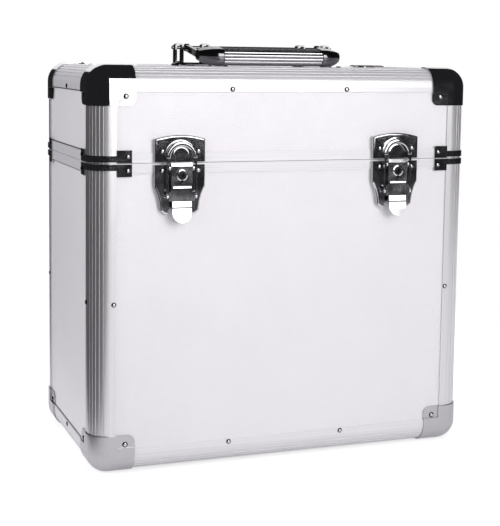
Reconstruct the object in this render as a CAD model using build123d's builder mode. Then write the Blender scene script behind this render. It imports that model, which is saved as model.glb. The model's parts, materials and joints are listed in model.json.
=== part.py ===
from build123d import *
import math
import os

os.makedirs("parts", exist_ok=True)

# A carrying case for records: two wooden-core shells in an aluminium frame, joined by hinges
# at the back and held by two lockable draw latches in front, with a folding handle on top.
# Millimetres. +Z is up and the latches face -Y. The pieces are drawn about the middle of the
# frame and saved about the middle of the whole outline, with its latches, hinges and rivets.

# ---- driving dimensions ----
case_w = 356.0          # over the aluminium frame, left to right
case_d = 192.0          # front to back
case_h = 350.0          # bottom frame to top frame
base_h = 268.0          # height of the lower shell
cap_t = 1.2             # sheet of the pressed corners and clips
edge_r = 17.0           # round of every framed edge
flange = 21.6           # how far the frame reaches over a panel
skin = 1.3              # wall of the frame over the panel
panel_t = 5.0
leg_t = 1.2             # inner leg of the frame
seam = 0.4              # gap between the two shells

low_z = cap_t           # the bottom corners stand this far below the frame
top_z = low_z + case_h
split = low_z + base_h
base_top = split - seam / 2
lid_low = split + seam / 2
slot = edge_r + 0.2                     # where the panel's edge sits in the frame
depth = skin + panel_t + leg_t          # thickness of frame and panel together
corner_gap = flange + 1.4               # frame bars end here, under the corners

flute_r = 0.65
flute_step = 11.75                      # degrees between flutes on the round
flute_count = 5
chamber_start = 8.5                     # the hollow in the frame begins this far in
web_t = 1.3

lip_h = 8.5                             # closing rims
rim_web = 1.5
tongue_in = depth + 0.5
tongue_t = 1.2
tongue_h = 5.0
lining_t = 2.0

cap_reach = 38.0                        # pressed corners
cap_reach_z = 33.6
cap_round = 6.0
cap_rivet = (29.5, 25.5)

clip_in = 34.5                          # clips at the seam, inner end from the case's side
clip_tab = 13.0
clip_tab_h = 10.8
clip_strap_h = 5.4
clip_rivet = 31.0
clip_rivet_z = 6.0

rail_rivet_x = 54.0
rail_rivet_in = 19.3
post_rivet_z = 149.0

latch_x = 102.0
latch_reach = 12.4                      # how far the latches stand out of the frame's front
hinge_x = 100.0
hinge_out = 3.3                         # the hinge pins' distance behind the frame
knuckle_r = 2.9
middle_y = (latch_reach - hinge_out - knuckle_r) / 2

lining_in = depth + lining_t
half_w = case_w / 2
half_d = case_d / 2


# ---- helpers ----
def block(low, high, mode=Mode.ADD):
    """a box between two opposite corners"""
    size = [high[i] - low[i] for i in range(3)]
    centre = [(high[i] + low[i]) / 2 for i in range(3)]
    with Locations(tuple(centre)):
        Box(*size, mode=mode)


def save(builder, name):
    """label a finished piece and write it, moved to stand about the middle of the whole outline"""
    builder.part.label = name
    export_step(builder.part.moved(Location((0, middle_y, 0))), f"parts/{name}.step")


def face_plane(face, a, b, level=0.0):
    """a plane on one side of the case, its normal outwards, level outwards of the frame"""
    origin, x_dir, z_dir = {
        "front": ((a, -half_d - level, b), (1, 0, 0), (0, -1, 0)),
        "back": ((a, half_d + level, b), (-1, 0, 0), (0, 1, 0)),
        "left": ((-half_w - level, a, b), (0, -1, 0), (-1, 0, 0)),
        "right": ((half_w + level, a, b), (0, 1, 0), (1, 0, 0)),
        "top": ((a, b, top_z + level), (1, 0, 0), (0, 0, 1)),
        "bottom": ((a, b, low_z - level), (1, 0, 0), (0, 0, -1)),
    }[face]
    return Plane(origin=origin, x_dir=x_dir, z_dir=z_dir)


def edge_plane(origin, run, inward_1, inward_2):
    """a plane across an edge that runs along run, with both of its axes pointing inwards"""
    first, second = Vector(*inward_1), Vector(*inward_2)
    along = first.cross(second).dot(Vector(*run)) > 0
    return Plane(origin=origin, x_dir=first if along else second, z_dir=run)


# ---- rivets: each kind is its head, its shank and the places where it stands ----
class RivetKind:
    def __init__(self, head_r, head_h, shank_r, level, tail):
        self.head_r = head_r
        self.head_h = head_h
        self.shank_r = shank_r
        self.level = level          # of the head's seat, outwards of the frame
        self.tail = tail            # depth of the shank's end, inwards of the frame


plate_level = 4.3                   # front of the latch plates, outwards of the frame
hinge_leaf_t = 1.2

rail_kind = RivetKind(2.25, 1.1, 1.2, 0.0, depth)
corner_kind = RivetKind(2.5, 1.2, 1.4, cap_t - skin, skin + panel_t)
clip_kind = RivetKind(2.2, 1.1, 1.3, cap_t, depth)
latch_kind = RivetKind(2.5, 1.3, 1.3, plate_level, depth)
keeper_kind = RivetKind(2.5, 1.3, 1.3, plate_level, skin + panel_t)
hinge_kind = RivetKind(2.2, 1.0, 1.3, hinge_leaf_t, skin + panel_t)
bracket_base_t = 4.0
bracket_kind = RivetKind(2.3, 1.5, 1.5, bracket_base_t - skin, skin + panel_t)

latch_rivet_x = 16.0
latch_rivet_z = 6.2
keeper_rivet_z = 10.3
hinge_rivet_x = 13.0
hinge_rivet_z = 17.0
arch_rows = (48.0, 73.6)            # the two arches of each handle bracket


def rail_rivets(edge_z, side_sign):
    """the small rivets along the frame's flanges at one horizontal edge"""
    rows = []
    z = edge_z + side_sign * rail_rivet_in
    level_face = "bottom" if side_sign > 0 else "top"
    for x in (-rail_rivet_x, rail_rivet_x):
        rows += [("front", x, z), ("back", x, z)]
        rows += [(level_face, x, y) for y in (-half_d + rail_rivet_in, half_d - rail_rivet_in)]
    rows += [("left", 0, z), ("right", 0, z)]
    return rows


def corner_rivets(edge_z, side_sign):
    """one rivet for each of a corner's three faces"""
    rows = []
    x, y = half_w - cap_rivet[0], half_d - cap_rivet[0]
    z = edge_z + side_sign * cap_rivet[1]
    level_face = "bottom" if side_sign > 0 else "top"
    for s in (-1, 1):
        rows += [("front", s * x, z), ("back", s * x, z), ("left", s * y, z), ("right", s * y, z)]
        rows += [(level_face, s * x, y), (level_face, s * x, -y)]
    return rows


def clip_rivets(z):
    """one rivet for each tab of the clips at the seam"""
    rows = []
    for s in (-1, 1):
        rows += [(face, s * (half_w - clip_rivet), z) for face in ("front", "back")]
        rows += [(face, s * (half_d - clip_rivet), z) for face in ("left", "right")]
    return rows


def post_rivets():
    """one small rivet half way up each flange of the lower posts"""
    rows = []
    for s in (-1, 1):
        rows += [(face, s * (half_w - rail_rivet_in), post_rivet_z) for face in ("front", "back")]
        rows += [(face, s * (half_d - rail_rivet_in), post_rivet_z) for face in ("left", "right")]
    return rows


def latch_rows(z):
    return [("front", s * latch_x + t * latch_rivet_x, z) for s in (-1, 1) for t in (-1, 1)]


def hinge_rows(z):
    return [("back", s * hinge_x + t * hinge_rivet_x, z) for s in (-1, 1) for t in (-1, 1)]


base_rivet_rows = [
    (rail_kind, rail_rivets(low_z, 1) + post_rivets()),
    (corner_kind, corner_rivets(low_z, 1)),
    (clip_kind, clip_rivets(split - clip_rivet_z)),
    (latch_kind, latch_rows(split - latch_rivet_z)),
    (hinge_kind, hinge_rows(split - hinge_rivet_z)),
]
lid_rivet_rows = [
    (rail_kind, rail_rivets(top_z, -1)),
    (corner_kind, corner_rivets(top_z, -1)),
    (clip_kind, clip_rivets(split + clip_rivet_z)),
    (keeper_kind, latch_rows(split + keeper_rivet_z)),
    (hinge_kind, hinge_rows(split + hinge_rivet_z)),
    (bracket_kind, [("top", s * x, 0) for s in (-1, 1) for x in arch_rows]),
]


def drill(rivet_rows, faces):
    """cut the rivets' holes on the named sides out of the piece being made"""
    for kind, rows in rivet_rows:
        places = [face_plane(face, a, b, kind.level) for face, a, b in rows if face in faces]
        if places:
            inwards = (Align.CENTER, Align.CENTER, Align.MAX)
            with Locations(*places):
                Cylinder(kind.shank_r, kind.level + kind.tail, align=inwards, mode=Mode.SUBTRACT)


def make_rivets(name, rivet_rows):
    """every rivet of one shell, as separate solids in one node"""
    shapes = []
    for kind, rows in rivet_rows:
        dome_r = (kind.head_r**2 + kind.head_h**2) / (2 * kind.head_h)
        half_angle = math.asin(kind.head_r / dome_r) / 2
        mid = (dome_r * math.sin(half_angle), dome_r * math.cos(half_angle) - dome_r + kind.head_h)
        tail = -(kind.level + kind.tail)
        with BuildPart() as rivet:
            with BuildSketch(Plane.XZ):
                with BuildLine():
                    ThreePointArc((kind.head_r, 0), mid, (0, kind.head_h))
                    Polyline((0, kind.head_h), (0, tail), (kind.shank_r, tail))
                    Polyline((kind.shank_r, tail), (kind.shank_r, 0), (kind.head_r, 0))
                make_face()
            revolve(axis=Axis.Z)
        shapes += [face_plane(face, a, b, kind.level).location * rivet.part for face, a, b in rows]
    with BuildPart() as rivets:
        add(shapes)
    save(rivets, name)


# ---- the frame: one hollow aluminium section for posts and rails ----
def inner_arc(u):
    """depth of the inner side of the round at u from the other face"""
    inner_r = edge_r - skin
    return edge_r - math.sqrt(inner_r**2 - (edge_r - u) ** 2)


# the section, its origin at the sharp outer corner and both axes inwards
arc_mid = edge_r - edge_r * math.sqrt(0.5)
slot_w = flange - slot
slot_mid = (slot + flange) / 2
slot_depth = skin + panel_t / 2
chamber_end = slot - web_t
chamber_mid = (chamber_start + chamber_end) / 2
first_flute = 45 - flute_step * (flute_count - 1) / 2

with BuildSketch() as frame_section:
    with BuildLine():
        ThreePointArc((0, edge_r), (arc_mid, arc_mid), (edge_r, 0))
        Polyline((edge_r, 0), (flange, 0), (flange, depth), (depth, depth))
        Polyline((depth, depth), (depth, flange), (0, flange), (0, edge_r))
    make_face()
    with Locations((slot_mid, slot_depth)):
        Rectangle(slot_w, panel_t, mode=Mode.SUBTRACT)
    with Locations((slot_depth, slot_mid)):
        Rectangle(panel_t, slot_w, mode=Mode.SUBTRACT)
    for swap in (False, True):
        points = [(u, inner_arc(u)) for u in (chamber_start, chamber_mid, chamber_end)]
        points += [(chamber_end, skin + panel_t), (chamber_start, skin + panel_t)]
        if swap:
            points = [(v, u) for u, v in points]
        with BuildLine():
            ThreePointArc(*points[:3])
            Polyline(*points[2:], points[0])
        make_face(mode=Mode.SUBTRACT)
    for i in range(flute_count):
        angle = math.radians(first_flute + i * flute_step)
        with Locations((edge_r - edge_r * math.cos(angle), edge_r - edge_r * math.sin(angle))):
            Circle(flute_r, mode=Mode.SUBTRACT)


def frame_bar(plane, length):
    with BuildSketch(plane) as bar:
        add(frame_section.sketch)
    extrude(bar.sketch, amount=length)


sides_x = {"left": -1, "right": 1}
sides_y = {"front": -1, "back": 1}
post_low = low_z + corner_gap
post_high = top_z - corner_gap


def post_plane(sx, sy, z):
    return edge_plane((sx * half_w, sy * half_d, z), (0, 0, 1), (-sx, 0, 0), (0, -sy, 0))


for name_y, sy in sides_y.items():
    for name_x, sx in sides_x.items():
        with BuildPart() as post:
            frame_bar(post_plane(sx, sy, post_low), base_top - post_low)
            drill(base_rivet_rows, (name_x, name_y))
        save(post, f"base_post_{name_y}_{name_x}")

with BuildPart() as lid_posts:
    for sy in sides_y.values():
        for sx in sides_x.values():
            frame_bar(post_plane(sx, sy, lid_low), post_high - lid_low)
save(lid_posts, "lid_posts")

rail_x = half_w - corner_gap
rail_y = half_d - corner_gap


def long_rail_plane(sy, edge_z, sz):
    return edge_plane((-rail_x, sy * half_d, edge_z), (1, 0, 0), (0, -sy, 0), (0, 0, -sz))


def side_rail_plane(sx, edge_z, sz):
    return edge_plane((sx * half_w, -rail_y, edge_z), (0, 1, 0), (-sx, 0, 0), (0, 0, -sz))


for name_y, sy in sides_y.items():
    with BuildPart() as rail:
        frame_bar(long_rail_plane(sy, low_z, -1), 2 * rail_x)
        drill(base_rivet_rows, (name_y, "bottom"))
    save(rail, f"bottom_rail_{name_y}")

for name_x, sx in sides_x.items():
    with BuildPart() as rail:
        frame_bar(side_rail_plane(sx, low_z, -1), 2 * rail_y)
        drill(base_rivet_rows, (name_x,))
    save(rail, f"bottom_rail_{name_x}")

with BuildPart() as top_long_rails:
    for sy in sides_y.values():
        frame_bar(long_rail_plane(sy, top_z, 1), 2 * rail_x)
    drill(lid_rivet_rows, ("front", "back", "top"))
save(top_long_rails, "top_long_rails")

with BuildPart() as top_side_rails:
    for sx in sides_x.values():
        frame_bar(side_rail_plane(sx, top_z, 1), 2 * rail_y)
    drill(lid_rivet_rows, ("left", "right"))
save(top_side_rails, "top_side_rails")

# ---- panels: thin sheet over a wooden core, held in the frame's slots ----
panel_x = half_w - slot
panel_y = half_d - slot


def wall_panel(name, side, z_low, z_high, rivet_rows):
    """one upright panel, its outer face one skin inside the frame"""
    outer, inner = skin, skin + panel_t
    with BuildPart() as panel:
        if side in sides_y:
            s = sides_y[side]
            faces = sorted((s * (half_d - outer), s * (half_d - inner)))
            block((-panel_x, faces[0], z_low), (panel_x, faces[1], z_high))
        else:
            s = sides_x[side]
            faces = sorted((s * (half_w - outer), s * (half_w - inner)))
            block((faces[0], -panel_y, z_low), (faces[1], panel_y, z_high))
        drill(rivet_rows, (side,))
    save(panel, name)


for side in ("front", "back", "left", "right"):
    wall_panel(f"base_panel_{side}", side, low_z + slot, base_top - rim_web, base_rivet_rows)
    wall_panel(f"lid_panel_{side}", side, lid_low + rim_web, top_z - slot, lid_rivet_rows)

with BuildPart() as bottom_panel:
    block((-panel_x, -panel_y, low_z + skin), (panel_x, panel_y, low_z + skin + panel_t))
    drill(base_rivet_rows, ("bottom",))
save(bottom_panel, "bottom_panel")

with BuildPart() as top_panel:
    block((-panel_x, -panel_y, top_z - skin - panel_t), (panel_x, panel_y, top_z - skin))
    drill(lid_rivet_rows, ("top",))
save(top_panel, "top_panel")

# ---- closing rims: a channel over the panel's edge, with a tongue on the lower shell ----
rim_x = half_w - flange - 0.1
rim_y = half_d - flange - 0.1


def rim_outline(tongue_points):
    """the rim's section: first axis inwards from the frame's face, second away from the seam"""
    inner = skin + panel_t
    with BuildSketch() as outline:
        with BuildLine():
            Polyline((0, 0), (0, lip_h), (skin, lip_h), (skin, rim_web))
            Polyline((skin, rim_web), (inner, rim_web), (inner, lip_h), (depth, lip_h))
            Polyline((depth, lip_h), *tongue_points, (0, 0))
        make_face()
    return outline.sketch


def rim_bars(z, away, outline):
    """four straight bars, one for each wall, between the corner posts"""
    bars = [((0, s * half_d, z), (0, -s, 0), (-s * away, 0, 0), rim_x) for s in (-1, 1)]
    bars += [((s * half_w, 0, z), (-s, 0, 0), (0, s * away, 0), rim_y) for s in (-1, 1)]
    for origin, x_dir, z_dir, reach in bars:
        with BuildSketch(Plane(origin=origin, x_dir=x_dir, z_dir=z_dir)) as bar:
            add(outline)
        extrude(bar.sketch, amount=reach, both=True)


tongue_out = tongue_in + tongue_t
tongue_rise = -(seam + tongue_h)
tongue_points = [
    (depth, rim_web),
    (tongue_out, rim_web),
    (tongue_out, tongue_rise),
    (tongue_in, tongue_rise),
    (tongue_in, 0),
]

with BuildPart() as base_rim:
    rim_bars(base_top, -1, rim_outline(tongue_points))
    drill(base_rivet_rows, ("front", "back", "left", "right"))
save(base_rim, "base_rim")

with BuildPart() as lid_rim:
    rim_bars(lid_low, 1, rim_outline([(depth, 0)]))
    drill(lid_rivet_rows, ("front", "back", "left", "right"))
save(lid_rim, "lid_rim")

# ---- linings: a thin tray of foam in each shell ----
lining_x, lining_y = half_w - depth, half_d - depth
cavity_x, cavity_y = half_w - lining_in, half_d - lining_in
base_lining_top = base_top - rim_web - 0.2      # just under the rim's web
lid_lining_low = lid_low + tongue_h + 1.0       # just over the lower rim's tongue

with BuildPart() as base_lining:
    block((-lining_x, -lining_y, low_z + depth), (lining_x, lining_y, base_lining_top))
    block((-cavity_x, -cavity_y, low_z + lining_in), (cavity_x, cavity_y, split), Mode.SUBTRACT)
save(base_lining, "base_lining")

with BuildPart() as lid_lining:
    block((-lining_x, -lining_y, lid_lining_low), (lining_x, lining_y, top_z - depth))
    block((-cavity_x, -cavity_y, split), (cavity_x, cavity_y, top_z - lining_in), Mode.SUBTRACT)
save(lid_lining, "lid_lining")

# ---- pressed corners: a ball-cornered cap over three frame bars, riveted to three panels ----
corner_span = 60.0
corner_low = (0, 0, 0)
corner_high = (corner_span, corner_span, corner_span)


def sink_panels(start, level):
    """lower the three faces beyond the frame's flange, as the panels are"""
    outside = -2 * cap_t
    for axis in range(3):
        low = [start] * 3
        high = [corner_span] * 3
        low[axis] = outside
        high[axis] = level
        block(low, high, Mode.SUBTRACT)


with BuildPart() as case_corner:
    block(corner_low, corner_high)
    fillet(case_corner.edges().sort_by_distance(corner_low)[:3], edge_r)
    sink_panels(flange, skin)

with BuildPart() as cap_reach_shape:
    cap_low = (-cap_t, -cap_t, -cap_t)
    cap_high = (cap_reach, cap_reach, cap_reach_z)
    block(cap_low, cap_high)
    fillet(cap_reach_shape.edges().sort_by_distance(cap_high)[:3], cap_round)

with BuildPart() as cap_shape:
    block(cap_low, corner_high)
    fillet(cap_shape.edges().sort_by_distance(cap_low)[:3], edge_r + cap_t)
    sink_panels(flange + cap_t, skin - cap_t)
    add(case_corner.part, mode=Mode.SUBTRACT)
    add(cap_reach_shape.part, mode=Mode.INTERSECT)

corner_levels = (("bottom", low_z, -1, base_rivet_rows), ("top", top_z, 1, lid_rivet_rows))
for level_name, edge_z, sz, rivet_rows in corner_levels:
    for name_y, sy in sides_y.items():
        for name_x, sx in sides_x.items():
            sharp_corner = (sx * half_w, sy * half_d, edge_z)
            place = edge_plane(sharp_corner, (0, 0, -sz), (-sx, 0, 0), (0, -sy, 0))
            with BuildPart() as corner:
                with Locations(place):
                    add(cap_shape.part)
                drill(rivet_rows, (name_x, name_y, level_name))
            save(corner, f"{level_name}_corner_{name_y}_{name_x}")


# ---- clips that wrap the posts at the seam ----
def rim_clips(z_low, z_high, strap_low, strap_high):
    """four clips: a strap round each post, with a riveted tab on both faces"""
    with BuildSketch(Plane.XY.offset(strap_low)) as strap:
        RectangleRounded(case_w + 2 * cap_t, case_d + 2 * cap_t, edge_r + cap_t)
        RectangleRounded(case_w, case_d, edge_r, mode=Mode.SUBTRACT)
        Rectangle(case_w - 2 * clip_in, 2 * case_d, mode=Mode.SUBTRACT)
        Rectangle(2 * case_w, case_d - 2 * clip_in, mode=Mode.SUBTRACT)
    extrude(strap.sketch, amount=strap_high - strap_low)
    tab_in, tab_out = clip_in, clip_in - clip_tab
    for sx in sides_x.values():
        for sy in sides_y.values():
            xs = sorted((sx * (half_w - tab_in), sx * (half_w - tab_out)))
            ys = sorted((sy * half_d, sy * (half_d + cap_t)))
            block((xs[0], ys[0], z_low), (xs[1], ys[1], z_high))
            xs = sorted((sx * half_w, sx * (half_w + cap_t)))
            ys = sorted((sy * (half_d - tab_in), sy * (half_d - tab_out)))
            block((xs[0], ys[0], z_low), (xs[1], ys[1], z_high))


clip_base_top = split - 0.6
clip_lid_low = split + 0.4
with BuildPart() as base_clips:
    rim_clips(clip_base_top - clip_tab_h, clip_base_top, clip_base_top - clip_strap_h, clip_base_top)
    drill(base_rivet_rows, ("front", "back", "left", "right"))
save(base_clips, "base_clips")

with BuildPart() as lid_clips:
    rim_clips(clip_lid_low, clip_lid_low + clip_tab_h, clip_lid_low + 0.8, clip_lid_low + 0.8 + clip_strap_h)
    drill(lid_rivet_rows, ("front", "back", "left", "right"))
save(lid_clips, "lid_clips")

# ---- draw latches ----
# Heights are from the seam, levels outwards of the frame's front face.
panel_level = -skin
plate_half = 22.5
plate_t = 1.2
plate_round = 1.6
keeper_low, keeper_side, keeper_top = 1.0, 20.6, 24.0
plate_top, plate_waist, plate_bottom = -1.3, -20.6, -43.8
plate_neck = (18.9, -30.0)
plate_foot = (17.2, -40.8)
plate_cut = 13.4
window_half, window_low = 9.6, -8.2          # cut behind the lever's top, which swings through it
notch_half, notch_h = 10.8, 4.4
dome_r, dome_z, dome_h = 8.6, 6.4, 2.0
crown_in, crown_h, crown_taper = 0.4, 0.5, 72       # the dome's gently sloped rim
ridge_r, ridge_t, ridge_h = 12.4, 2.2, 0.36

lever_half = 9.3
tab_half = 8.5
tab_start = -32.0
lever_t = 1.4
lever_pivot_z = -3.7
lever_pivot_level = plate_level + 2.8
barrel_r = 2.4
pin_r = 1.0
run_gap = 0.05
ear_in, ear_t = 9.9, 1.3
ear_r = 2.4
lug_out = 11.5
bail_pivot_z = -28.0
bail_t = 2.2
bail_level = plate_level + 3.0
bail_in, bail_out = 11.9, 13.5
bail_centre_z = 4.8
arch_in = 10.0                  # inner radius of the bail's broad arch over the keeper
arch_low, arch_end = 1.0, -0.8  # where its inner edge leaves the straight and meets the arms
arch_slope, arch_slope_h = 1.3, 0.4
arch_inner_slope = 0.7
bail_pin_r = 0.9
bail_eye_r = 2.0
lever_front = 9.5
lever_top = 0.6
lever_profile = [           # front of the lever, as (height, level) from its top down to its tab
    (lever_top, 8.85),
    (-2.3, lever_front),
    (-18.8, lever_front),
    (-19.4, 10.5),
    (-20.9, 10.7),
    (-21.1, 8.2),
    (-31.4, 8.2),
    (-32.2, 9.6),
    (-37.0, 10.2),
    (-37.1, 9.0),
    (-38.3, 10.2),
    (-44.0, 10.9),
    (-50.4, latch_reach),
]
lever_rear = [              # its back, from the tab up to the top
    (-50.4, 11.0),
    (-44.0, 9.5),
    (-38.6, 7.9),
    (-32.6, 7.9),
    (-31.0, 6.8),
    (-21.0, 6.8),
    (-18.6, 8.1),
    (-2.3, 8.1),
    (lever_top, 7.5),
]
lever_end_r = tab_half
lever_end_z = lever_profile[-1][0] + lever_end_r
bar_half = 8.0              # the raised bar under the lock is a little narrower than the lever
bar_top, bar_low = -18.4, -21.3
cheek_back = 5.2
cheek_points = [            # the lever's side walls, as (level, height)
    (cheek_back, lever_pivot_z),
    (lever_front, lever_pivot_z),
    (lever_front, -31.4),
    (8.4, tab_start),
    (6.6, tab_start),
    (cheek_back, -30.4),
]
lock_z = -9.9
lock_r = 3.6
lock_ring_r = 5.0
lock_ring_h = 0.6
lock_slope_h, lock_slope_taper = 0.25, 76    # the ring's sloped top
lock_notch_z, lock_notch = -5.4, 2.4         # a square hole under the lock
lug_t, lug_h = 3.4, 8.0
bail_pivot_level = bail_level + bail_t / 2
pin_proud = 0.3
plug_back = plate_level + 0.6
cam_t, cam_w, cam_reach = 1.1, 3.2, 7.2
keyhole_r, keyway_w, keyway_h, keyway_deep = 1.5, 1.3, 3.6, 2.0


def keeper_outline(inset):
    """the upper plate's outline, arched at the top"""
    half, low, side = plate_half - inset, keeper_low + inset, keeper_side - inset
    with BuildSketch() as outline:
        with BuildLine():
            Polyline((-half, side), (-half, low), (half, low), (half, side))
            ThreePointArc((half, side), (0, keeper_top - inset), (-half, side))
        make_face()
    return outline.sketch


def plate_outline(inset):
    """the lower plate's outline: drawn in below its waist, with the corners of its foot cut"""
    with BuildSketch() as outline:
        with BuildLine():
            Polyline((0, plate_top), (plate_half, plate_top), (plate_half, plate_waist))
            ThreePointArc((plate_half, plate_waist), plate_neck, plate_foot)
            Polyline(plate_foot, (plate_cut, plate_bottom), (0, plate_bottom))
            mirror(about=Plane.YZ)
        make_face()
        if inset > 0:
            offset(amount=-inset, kind=Kind.INTERSECTION)
    return outline.sketch


def pressed_tray(x, outline):
    """a plate with walls back to the panel, its front edges rounded save at the seam, and its back open"""
    height = plate_level - panel_level
    with BuildPart() as tray:
        with BuildSketch(face_plane("front", x, split, panel_level)):
            add(outline(0))
        extrude(amount=height)
        border = tray.faces().sort_by(Axis.Y)[0].edges()
        fillet(border.filter_by(lambda edge: abs(edge.center().Z - split) > plate_round), plate_round)
        with BuildSketch(face_plane("front", x, split, panel_level)):
            add(outline(plate_t))
        extrude(amount=height - plate_t, mode=Mode.SUBTRACT)
        low, high = split - lip_h - seam, split + lip_h + seam
        block((x - 2 * plate_half, -half_d, low), (x + 2 * plate_half, 0, high), Mode.SUBTRACT)
    return tray.part


def latch_plane(x):
    """across a latch: first axis outwards from the frame's front, second up from the seam, facing -X"""
    return Plane(origin=(x, -half_d, split), x_dir=(0, -1, 0), z_dir=(-1, 0, 0))


def arch_plane(x, z):
    """level with an arch's middle: first axis to its right end, second outwards from the frame's front"""
    return Plane(origin=(x, -half_d, split + z), x_dir=(1, 0, 0), z_dir=(0, 0, -1))


def turn_arch(x, z):
    """sweep the section drawn on that plane over the top, to the left end"""
    revolve(axis=Axis((x, 0, split + z), (0, -1, 0)), revolution_arc=180)


def half_disc(radius, flat):
    """a disc whose lower part runs straight down to a flat edge"""
    with BuildSketch() as disc:
        Circle(radius)
        with Locations((0, -flat / 2)):
            Rectangle(2 * radius, flat)
        with Locations((0, -flat - radius)):
            Rectangle(4 * radius, 2 * radius, mode=Mode.SUBTRACT)
    return disc.sketch


for side, sx in sides_x.items():
    x = sx * latch_x

    with BuildPart() as keeper:
        add(pressed_tray(x, keeper_outline))
        dome_flat = dome_z - keeper_low - 0.2
        with BuildSketch(face_plane("front", x, split + dome_z, plate_level)):
            add(half_disc(dome_r, dome_flat))
        extrude(amount=dome_h, taper=8)
        with BuildSketch(face_plane("front", x, split + dome_z, plate_level + dome_h)):
            add(half_disc(dome_r - crown_in, dome_flat + dome_h))
        extrude(amount=crown_h, taper=crown_taper)
        crown_back, crown_low = -half_d - plate_level, split + dome_z - dome_flat
        block((x - dome_r, -case_d, split - dome_r), (x + dome_r, crown_back, crown_low), Mode.SUBTRACT)
        with BuildSketch(arch_plane(x, dome_z)):
            with BuildLine():
                Polyline((ridge_r - ridge_t / 2, plate_level), (ridge_r, plate_level + ridge_h))
                Polyline((ridge_r, plate_level + ridge_h), (ridge_r + ridge_t / 2, plate_level))
                Line((ridge_r + ridge_t / 2, plate_level), (ridge_r - ridge_t / 2, plate_level))
            make_face()
        turn_arch(x, dome_z)
        drill(lid_rivet_rows, ("front",))
    save(keeper, f"latch_keeper_{side}")

    with BuildPart() as plate:
        add(pressed_tray(x, plate_outline))
        foot = split + plate_bottom
        block((x - notch_half, -case_d, foot - 1), (x + notch_half, 0, foot + notch_h), Mode.SUBTRACT)
        window = split + window_low
        block((x - window_half, -case_d, window), (x + window_half, -half_d, split), Mode.SUBTRACT)
        for ear_x in (x - ear_in, x + ear_in + ear_t):
            with BuildSketch(latch_plane(ear_x)):
                with Locations((lever_pivot_level, lever_pivot_z)):
                    Circle(ear_r)
                ear_root = plate_level - plate_t / 2
                with Locations(((ear_root + lever_pivot_level) / 2, lever_pivot_z)):
                    Rectangle(lever_pivot_level - ear_root, 2 * ear_r)
                with Locations((lever_pivot_level, lever_pivot_z)):
                    Circle(pin_r, mode=Mode.SUBTRACT)
            extrude(amount=ear_t)
        drill(base_rivet_rows, ("front",))
    save(plate, f"latch_plate_{side}")

    with BuildPart() as bail_pin:
        stud_in, stud_out = lever_half - lever_t, bail_out + pin_proud
        for stud_x in (x - stud_in, x + stud_out):
            with BuildSketch(latch_plane(stud_x)):
                with Locations((bail_pivot_level, bail_pivot_z)):
                    Circle(bail_pin_r)
            extrude(amount=stud_out - stud_in)
    save(bail_pin, f"latch_bail_pin_{side}")

    with BuildPart() as lever:
        with BuildSketch(latch_plane(x)):
            with BuildLine():
                outline = [(level, z) for z, level in (*lever_profile, *lever_rear)]
                Polyline(*outline, outline[0])
            make_face()
            with Locations((lever_pivot_level, lever_pivot_z)):
                Circle(barrel_r)
        extrude(amount=lever_half, both=True)
        with BuildSketch(face_plane("front", x, split, 0)):
            with Locations((0, (barrel_r + tab_start) / 2)):
                Rectangle(2 * lever_half, barrel_r - tab_start)
            with Locations((0, (tab_start + lever_end_z) / 2)):
                Rectangle(2 * tab_half, tab_start - lever_end_z)
            with Locations((0, lever_end_z)):
                Circle(lever_end_r)
        extrude(amount=case_d, mode=Mode.INTERSECT)
        bar_front, bar_back = -case_d, -half_d - lever_front
        for side_x in (-1, 1):
            ends = sorted((x + side_x * bar_half, x + side_x * (lever_half + 1)))
            block((ends[0], bar_front, split + bar_low), (ends[1], bar_back, split + bar_top), Mode.SUBTRACT)
        for cheek_x in (x - lever_half + lever_t, x + lever_half):
            with BuildSketch(latch_plane(cheek_x)):
                with BuildLine():
                    Polyline(*cheek_points, cheek_points[0])
                make_face()
            extrude(amount=lever_t)
        for lug_x in (x - lever_half + lever_t, x + lug_out):
            with BuildSketch(latch_plane(lug_x)):
                with Locations((lever_front - lug_t / 2, bail_pivot_z)):
                    Rectangle(lug_t, lug_h)
            extrude(amount=lug_out - lever_half + lever_t)
        with BuildSketch(face_plane("front", x, split + lock_z, lever_front - lever_t)):
            Circle(lock_ring_r)
        extrude(amount=lever_t + lock_ring_h - lock_slope_h)
        with BuildSketch(face_plane("front", x, split + lock_z, lever_front + lock_ring_h - lock_slope_h)):
            Circle(lock_ring_r)
        extrude(amount=lock_slope_h, taper=lock_slope_taper)
        with BuildSketch(face_plane("front", x, split + lock_z, 0)):
            Circle(lock_r + run_gap)
            with Locations((0, lock_notch_z)):
                Rectangle(lock_notch, lock_notch)
        extrude(amount=case_d, mode=Mode.SUBTRACT)
        with BuildSketch(latch_plane(x)):
            with Locations((lever_pivot_level, lever_pivot_z)):
                Circle(pin_r + run_gap)
        extrude(amount=2 * lever_half, both=True, mode=Mode.SUBTRACT)
        add(bail_pin.part, mode=Mode.SUBTRACT)
    save(lever, f"latch_lever_{side}")

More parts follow.
